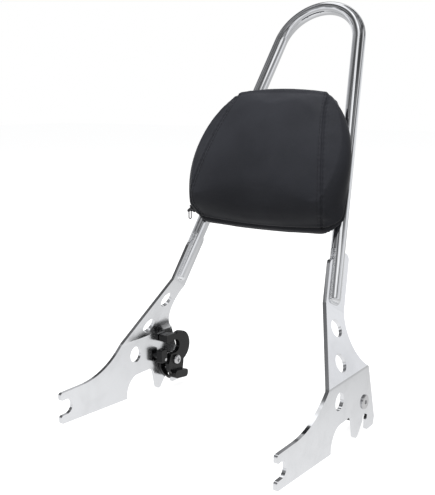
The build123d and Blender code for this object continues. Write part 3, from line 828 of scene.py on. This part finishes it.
class BACKREST_OT_pad(bpy.types.Operator):
    """Pad: a leather cover blown up on its form, with sewn seams sunk into it"""

    bl_idname = "backrest.pad"
    bl_label = "Pad"

    def form(self):
        """The cover's outside, a little smaller, as a new object of even cells."""
        bm = cad_copy("pad_cover")
        bmesh.ops.delete(bm, geom=bm.edges[:], context="EDGES_FACES")
        hull = bmesh.ops.convex_hull(bm, input=bm.verts, use_existing_faces=False)
        within = {g for g in hull["geom_interior"] + hull["geom_unused"] if isinstance(g, bmesh.types.BMVert)}
        bmesh.ops.delete(bm, geom=list(within), context="VERTS")
        bmesh.ops.delete(bm, geom=[v for v in bm.verts if not v.link_faces], context="VERTS")
        bmesh.ops.recalc_face_normals(bm, faces=bm.faces)
        outside = BVHTree.FromBMesh(bm)
        obj = piece(
            "pad_cover_sewn", bm, "black_leathercloth", "frame", ["pad_cover", "pad_foam"],
            smooth=None,
        )
        bpy.context.view_layer.objects.active = obj
        obj.data.remesh_voxel_size = settings().pad.voxel
        bpy.ops.object.voxel_remesh()
        slack = settings().pad.slack
        for vert in obj.data.vertices:
            out = pad_local(vert.co)[2]
            vert.co -= vert.normal * (slack if out > PAD_BACK_FLAT else BACK_SLACK)
        return obj, outside

    def blow_up(self, obj, outside):
        """Fills the cover by cloth simulation, held at its back, and kept near its form."""
        held = obj.vertex_groups.new(name="held")
        held.add([v.index for v in obj.data.vertices if pad_local(v.co)[2] < PAD_BACK_FLAT], 1.0, "REPLACE")
        cloth = obj.modifiers.new("Cloth", "CLOTH")
        cloth.settings.quality = 6
        cloth.settings.mass = 0.2
        cloth.settings.tension_stiffness = 12.0
        cloth.settings.compression_stiffness = 12.0
        cloth.settings.bending_stiffness = 2.0
        cloth.settings.use_pressure = True
        cloth.settings.uniform_pressure_force = 4.0
        cloth.settings.vertex_group_mass = "held"
        cloth.settings.effector_weights.gravity = 0.0
        for number in range(1, CLOTH_FRAMES + 1):
            bpy.context.scene.frame_set(number)
        blown = obj.evaluated_get(bpy.context.evaluated_depsgraph_get())
        reached = [v.co.copy() for v in blown.data.vertices]
        obj.modifiers.remove(cloth)
        obj.vertex_groups.remove(held)
        bpy.context.scene.frame_set(1)
        bm = bmesh.new()
        bm.from_mesh(obj.data)
        for vert, point in zip(bm.verts, reached):
            vert.co = point
        even_out(bm, CLOTH_SMOOTHINGS)
        self.keep_near(bm, outside)
        bm.to_mesh(obj.data)
        bm.free()

    def keep_near(self, bm, outside):
        """Keeps the cover on its form at the back and beside the board, and looser in front."""
        swell = settings().pad.swell
        for vert in bm.verts:
            place, normal, _, _ = outside.find_nearest(vert.co)
            proud = (vert.co - place).dot(normal)
            _, up, out = pad_local(vert.co)
            loose = min(ease_in(out, *BACK_EDGE), max(ease_in(out, *FOOT_EDGE), ease_in(up, *FOOT_LEVEL)))
            kept = max(-TIGHT_GAP - LOOSE_GAP * loose, min(swell, proud))
            vert.co += normal * (kept - proud)

    def refine(self, obj, outside):
        """Rounds the cells off and halves them, without leaving the form."""
        bm = bmesh.new()
        bm.from_mesh(obj.data)
        even_out(bm)
        bmesh.ops.subdivide_edges(bm, edges=bm.edges, cuts=1, smooth=1.0, use_grid_fill=True)
        even_out(bm)
        self.keep_near(bm, outside)
        bm.to_mesh(obj.data)
        bm.free()

    def sink(self, obj, lines):
        """Sinks the seams and the zip's groove, with small puckers beside the seams."""
        bm = bmesh.new()
        bm.from_mesh(obj.data)
        bm.normal_update()
        for points, depth, width, pucker in lines:
            tree = KDTree(len(points))
            for i, point in enumerate(points):
                tree.insert(point, i)
            tree.balance()
            for reach in (4.0, 2.0):
                near = [v for v in bm.verts if tree.find(v.co)[2] < width * reach]
                bmesh.ops.subdivide_edges(bm, edges=edges_at(near), cuts=1, smooth=0.6, use_grid_fill=True)
            bm.normal_update()
            moves = []
            for vert in bm.verts:
                _, index, away = tree.find(vert.co)
                if away < width * 5:
                    valley = depth * bell(away, 0.0, width)
                    shoulder = 0.22 * depth * bell(away, 2.6 * width, 1.2 * width)
                    wave = math.sin(index * 0.75) + 0.8 * noise(points[index] * 160.0)
                    ripple = pucker * wave * bell(away, 1.8 * width, 1.6 * width)
                    moves.append((vert, vert.normal * (shoulder + ripple - valley)))
            for vert, move in moves:
                vert.co += move
        bmesh.ops.triangulate(bm, faces=[f for f in bm.faces if len(f.verts) > 4])
        bm.to_mesh(obj.data)
        bm.free()

    def execute(self, context):
        dress_node("pad_backboard", "pad_board_ply")
        dress_node("pad_tee_nuts", "bright_zinc")
        pad = settings().pad
        obj, outside = self.form()
        self.blow_up(obj, outside)
        self.refine(obj, outside)
        skin = skin_of(obj.data)
        lines = [(on_skin(skin, seam_line(side)), pad.seam, SEAM_WIDTH, SEAM_PUCKER) for side in SIDES.values()]
        lines.append((on_skin(skin, zip_line()), pad.groove, GROOVE_WIDTH, 0.0))
        self.sink(obj, lines)
        obj.data.shade_smooth()
        return {"FINISHED"}


class BACKREST_OT_stitches(bpy.types.Operator):
    """Stitches: a row of thread along the inner side of each seam of the pad"""

    bl_idname = "backrest.stitches"
    bl_label = "Stitches"

    def execute(self, context):
        skin = skin_of(bpy.data.objects["pad_cover_sewn"].data)
        bm = bmesh.new()
        for side in SIDES.values():
            inner = [point - Vector((side * STITCH_INSET, 0.0, 0.0)) for point in seam_line(side)]
            spots = run_along(on_skin(skin, inner), settings().pad.stitch * STITCH_PITCH)
            for first, second in zip(spots, spots[1:]):
                run = second - first
                start, stop = first + run * STITCH_GAP, first + run * (1.0 - STITCH_GAP)
                lifted = []
                for i, lift in enumerate(STITCH_LIFTS):
                    part = i / (len(STITCH_LIFTS) - 1)
                    place, normal, _, _ = skin.find_nearest(start.lerp(stop, part))
                    lifted.append(place + normal * (lift * MM))
                rope(bm, lifted, [THREAD_RADIUS] * len(lifted), sides=6)
        piece("pad_stitches", bm, "black_thread", "frame")
        return {"FINISHED"}


class BACKREST_OT_zip(bpy.types.Operator):
    """Zip: its strip, slider and hanging wire puller"""

    bl_idname = "backrest.zip"
    bl_label = "Zip"

    def execute(self, context):
        skin = skin_of(bpy.data.objects["pad_cover_sewn"].data)
        bm = bmesh.new()
        for i, point in enumerate(run_along(on_skin(skin, zip_line()), TOOTH_STEP)):
            normal = skin.find_nearest(point)[1]
            out = (normal - OUT_OF_HOOP * normal.dot(OUT_OF_HOOP)).normalized()
            turn = Matrix((OUT_OF_HOOP.cross(out), OUT_OF_HOOP, out)).transposed().to_4x4()
            turn.translation = point + out * TOOTH_RISE + OUT_OF_HOOP * (TOOTH_STAGGER * (-1) ** i)
            tooth = bmesh.ops.create_cube(bm, size=1.0, matrix=turn @ Matrix.Diagonal((*TOOTH_SIZE, 1.0)))
            bmesh.ops.bevel(
                bm, geom=edges_at(tooth["verts"]), offset=TOOTH_EDGE, segments=1, profile=0.5, affect="EDGES",
                material=-1,
            )
        piece("zip_chain", bm, "zip_nylon", "frame", ["pad_zip"])
        eased_piece("zip_slider", "plated", SLIDER_EDGE, "dark_nickel", "frame")
        piece("zip_puller_wire", cad_copy("zip_puller"), "dark_nickel", "puller", ["zip_puller"])
        return {"FINISHED"}


class BACKREST_OT_straps(bpy.types.Operator):
    """Straps across the legs, with the screws and washers that hold the pad"""

    bl_idname = "backrest.straps"
    bl_label = "Straps and Screws"

    def execute(self, context):
        for node in ("lower_pad_strap", "upper_pad_strap"):
            eased_piece(node, "plated", STRAP_EDGE, "chrome_polished", "frame")
        for node in ("pad_screws", "pad_washers"):
            eased_piece(node, "plated", SCREW_EDGE, "bright_zinc", "frame")
        return {"FINISHED"}


class BACKREST_OT_latches(bpy.types.Operator):
    """Latches: black cast levers and claws with bright pivots and springs"""

    bl_idname = "backrest.latches"
    bl_label = "Latches"

    def execute(self, context):
        for side in SIDES:
            edge = settings().latch.edge
            for name, body, width in (
                ("lever", f"{side}_latch", edge), ("claw", f"{side}_latch", edge / 2),
                ("block", "frame", edge), ("post", "frame", edge / 3),
            ):
                eased_piece(f"{side}_latch_{name}", "cast", width, "black_enamel", body)
            for name in ("pivot_nut", "pivot_screw", "pin"):
                node = f"{side}_latch_{name}"
                eased_piece(node, "plated", PIVOT_EDGE, "bright_zinc", "frame")
            dress_node(f"{side}_latch_spring", "bright_zinc")
        return {"FINISHED"}


class BACKREST_OT_stage(bpy.types.Operator):
    """Floor, soft lights, white surroundings and the camera"""

    bl_idname = "backrest.stage"
    bl_label = "Stage"

    def floor(self):
        """A white floor that keeps a soft shadow. Mirrors see it glow with a painted pool of light, paler near
        the object than far from it.
        """
        bm = bmesh.new()
        bmesh.ops.create_grid(bm, x_segments=1, y_segments=1, size=FLOOR_SIZE)
        bmesh.ops.translate(bm, verts=bm.verts, vec=(0.0, 0.0, CAD_BOX[0].z - FLOOR_GAP))
        mesh = bpy.data.meshes.new("floor")
        bm.to_mesh(mesh)
        bm.free()
        obj = add_object("floor", mesh)
        made, tree, shader = material("floor_paper")
        fill_in(tree, shader, Base_Color=FLOOR_GREY, Roughness=0.9, Specular_IOR_Level=0.0)
        path = tree.nodes.new("ShaderNodeLightPath")
        glow = emission(tree, math_node(tree, "MULTIPLY", path.outputs["Is Camera Ray"], FLOOR_GLOW))
        lit = add_shaders(tree, shader.outputs["BSDF"], glow)
        reach = tree.nodes.new("ShaderNodeVectorMath")
        reach.operation = "LENGTH"
        give(tree, reach.inputs[0], object_place(tree))
        # Painted pool of light for mirrors: an unlit glow that fades with distance from the object, in place of
        # the lamps' falloff.
        painted_light_pool = emission(tree, ramp(tree, reach.outputs["Value"], 0.1, 0.6, 0.98, 0.6))
        surface = mix_shaders(tree, path.outputs["Is Glossy Ray"], lit, painted_light_pool)
        fill_in(tree, tree.nodes["Material Output"], Surface=surface)
        mesh.materials.append(made)

    def studio(self, tree):
        """What mirrors see: a white horizon under a patchy grey ceiling, and softboxes high on the right."""
        direction = tree.nodes.new("ShaderNodeTexCoord").outputs["Generated"]
        parts = tree.nodes.new("ShaderNodeSeparateXYZ")
        fill_in(tree, parts, Vector=direction)
        height = parts.outputs["Z"]
        slant = along(tree, direction, SOFTBOX_SLANT)
        tones = tree.nodes.new("ShaderNodeValToRGB")
        while len(tones.color_ramp.elements) < len(STUDIO_TONES):
            tones.color_ramp.elements.new(1.0)
        for element, (at, tone) in zip(tones.color_ramp.elements, STUDIO_TONES):
            element.position = at
            element.color = (*shade(STUDIO_CAST, tone), 1.0)
        fill_in(tree, tones, Fac=ramp(tree, height, -1.0, 1.0))
        clutter = noise_node(tree, 5.5, detail=1.0, vector=direction)
        faint = ramp(tree, height, 0.1, 0.3, 1.0, 0.35)
        strong = ramp(tree, height, 0.1, 0.3, 1.0, 1.5)
        patches = ramp(tree, clutter.outputs["Fac"], 0.42, 0.58, faint, strong)
        dimmed = ramp(tree, slant, 1.36, 1.44, 1.0, 0.6)
        room = background(tree, tones.outputs["Color"], math_node(tree, "MULTIPLY", dimmed, patches))
        from_low, to_high = ramp(tree, slant, 0.94, 1.02), ramp(tree, slant, 1.34, 1.4, 1.0, 0.0)
        band = math_node(tree, "MULTIPLY", from_low, to_high)
        right = ramp(tree, along(tree, direction, SOFTBOX_RIGHT), 0.74, 0.8, 0.0, 0.7)
        boxes = math_node(tree, "MAXIMUM", band, right)
        glare = math_node(tree, "MULTIPLY", boxes, ramp(tree, height, 0.42, 0.5))
        return add_shaders(tree, room, background(tree, SOFTBOX_GREY, glare))

    def world(self):
        """White to the camera, even daylight to dull surfaces and the studio to mirrors."""
        world = bpy.data.worlds.new("studio")
        bpy.context.scene.world = world
        world.use_nodes = True
        tree = world.node_tree
        tree.nodes.clear()
        path = tree.nodes.new("ShaderNodeLightPath")
        daylight = background(tree, DAYLIGHT, DAYLIGHT_STRENGTH)
        unseen = mix_shaders(tree, path.outputs["Is Glossy Ray"], daylight, self.studio(tree))
        seen = math_node(tree, "MAXIMUM", path.outputs["Is Camera Ray"], path.outputs["Is Transmission Ray"])
        surface = mix_shaders(tree, seen, unseen, background(tree, WHITE))
        fill_in(tree, tree.nodes.new("ShaderNodeOutputWorld"), Surface=surface)

    def lamp(self, name, place, size, power):
        """A soft lamp that mirrors don't show, as the studio has its own softboxes."""
        data = bpy.data.lights.new(name, "AREA")
        data.shape = "RECTANGLE"
        data.size, data.size_y = size
        data.energy = power
        obj = add_object(name, data)
        obj.visible_glossy = False
        aim(obj, place, Vector(LAMP_TARGET) - Vector(place))

    def camera(self):
        """The camera, turned about its target."""
        stage = settings().stage
        data = bpy.data.cameras.new("photo_view")
        data.lens = stage.lens
        data.sensor_width = SENSOR_WIDTH
        data.shift_x, data.shift_y = LENS_SHIFT
        data.clip_start = CLIP_START
        away = Vector((
            math.sin(stage.azimuth) * math.cos(stage.elevation),
            -math.cos(stage.azimuth) * math.cos(stage.elevation),
            math.sin(stage.elevation),
        ))
        obj = add_object("photo_view", data)
        aim(obj, Vector(stage.target) + away * stage.distance, -away)
        bpy.context.scene.camera = obj

    def execute(self, context):
        context.scene.view_settings.view_transform = "Standard"
        self.floor()
        self.world()
        for lamp in LAMPS:
            self.lamp(*lamp)
        self.camera()
        return {"FINISHED"}


class BACKREST_PT_panel(bpy.types.Panel):
    """Lists the backrest's pieces"""

    bl_idname = "BACKREST_PT_panel"
    bl_label = "Backrest"
    bl_space_type = "VIEW_3D"
    bl_region_type = "UI"
    bl_category = "Backrest"

    def draw(self, context):
        for operator in OPERATORS:
            self.layout.operator(operator.bl_idname, text=operator.bl_label)


OPERATORS = (
    BACKREST_OT_plates,
    BACKREST_OT_hoop,
    BACKREST_OT_pad,
    BACKREST_OT_stitches,
    BACKREST_OT_zip,
    BACKREST_OT_straps,
    BACKREST_OT_latches,
    BACKREST_OT_stage,
)
CLASSES = (
    BackrestChrome, BackrestPad, BackrestLatch, BackrestStage, BackrestSettings, *OPERATORS, BACKREST_PT_panel,
)


def register():
    """Registers the classes and hangs the settings on the scene."""
    for cls in CLASSES:
        bpy.utils.register_class(cls)
    bpy.types.Scene.backrest = bpy.props.PointerProperty(type=BackrestSettings)


def unregister():
    """Takes the classes and the settings away again."""
    del bpy.types.Scene.backrest
    for cls in reversed(CLASSES):
        bpy.utils.unregister_class(cls)


def main():
    """Builds every piece."""
    register()
    bpy.ops.backrest.plates()
    bpy.ops.backrest.hoop()
    bpy.ops.backrest.pad()
    bpy.ops.backrest.stitches()
    bpy.ops.backrest.zip()
    bpy.ops.backrest.straps()
    bpy.ops.backrest.latches()
    bpy.ops.backrest.stage()
    bpy.context.view_layer.update()


if __name__ == "__main__":
    main()
